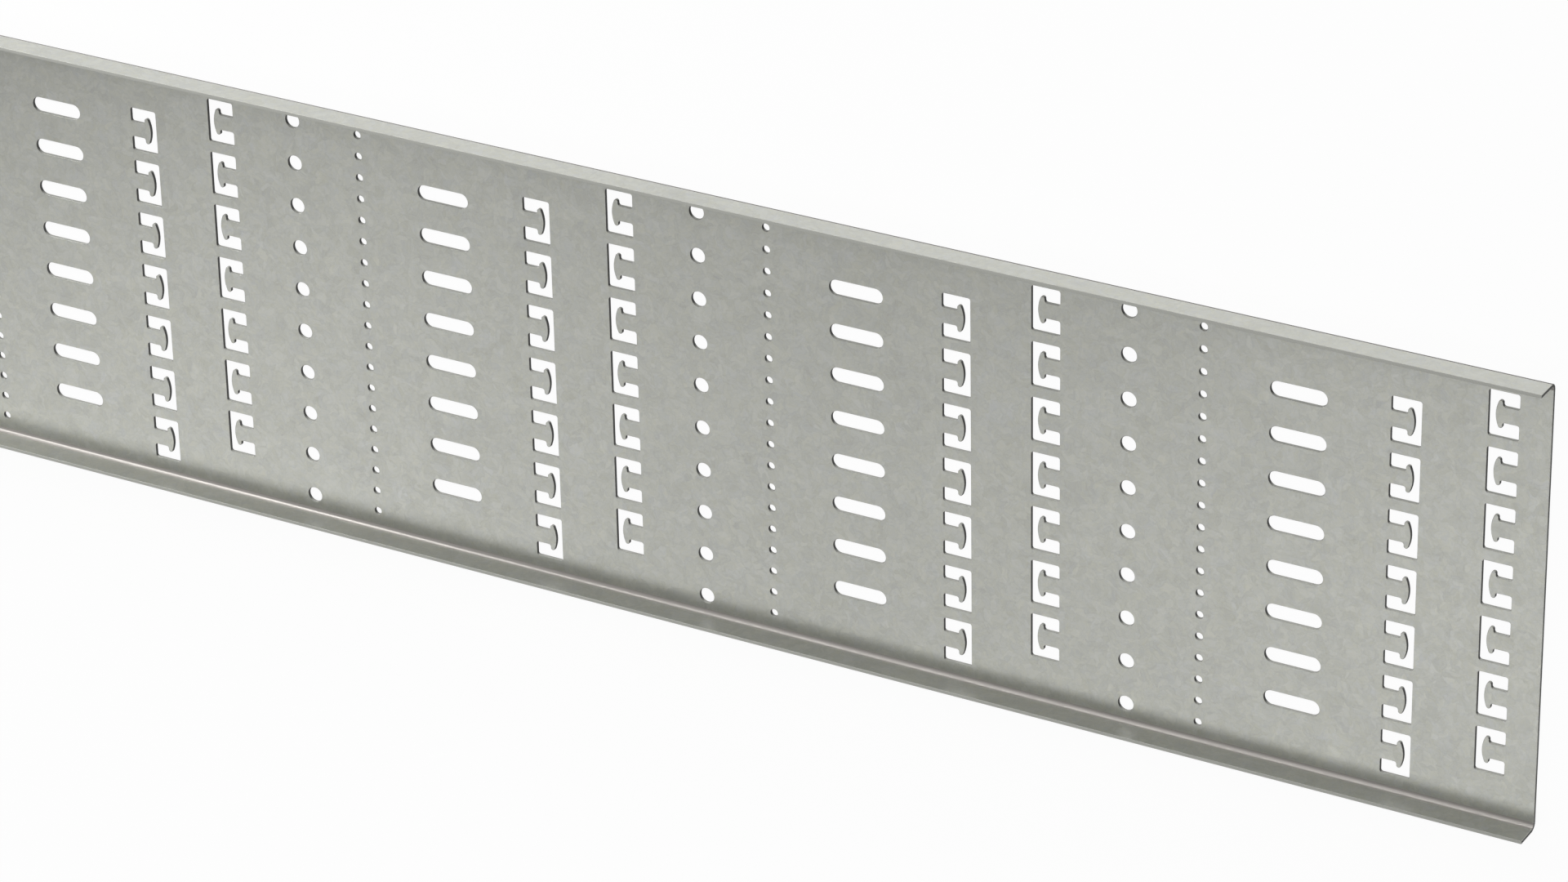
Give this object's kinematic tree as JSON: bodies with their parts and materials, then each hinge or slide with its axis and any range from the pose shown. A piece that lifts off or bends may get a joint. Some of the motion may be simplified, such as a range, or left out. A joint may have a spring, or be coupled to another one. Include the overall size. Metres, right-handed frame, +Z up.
{
  "type": "mounting channel",
  "caption": "Shallow perforated channel of galvanised sheet steel, with slots, round holes and hammer-head tabs for cable ties; its web is fixed to a rack, panel or wall.",
  "frame": {"origin": "middle of the back of the web, which lies on the floor", "axes": "+X along the channel, +Y across it, +Z up its flanges, out of the back of the web"},
  "size_m": [1, 0.2, 0.0137],
  "materials": {
    "galvanised_sheet": "zinc-coated sheet steel with a fine, soft spangle, matt"
  },
  "bodies": {
    "root": {"mounting_channel": "galvanised_sheet"}
  },
  "joints": []
}
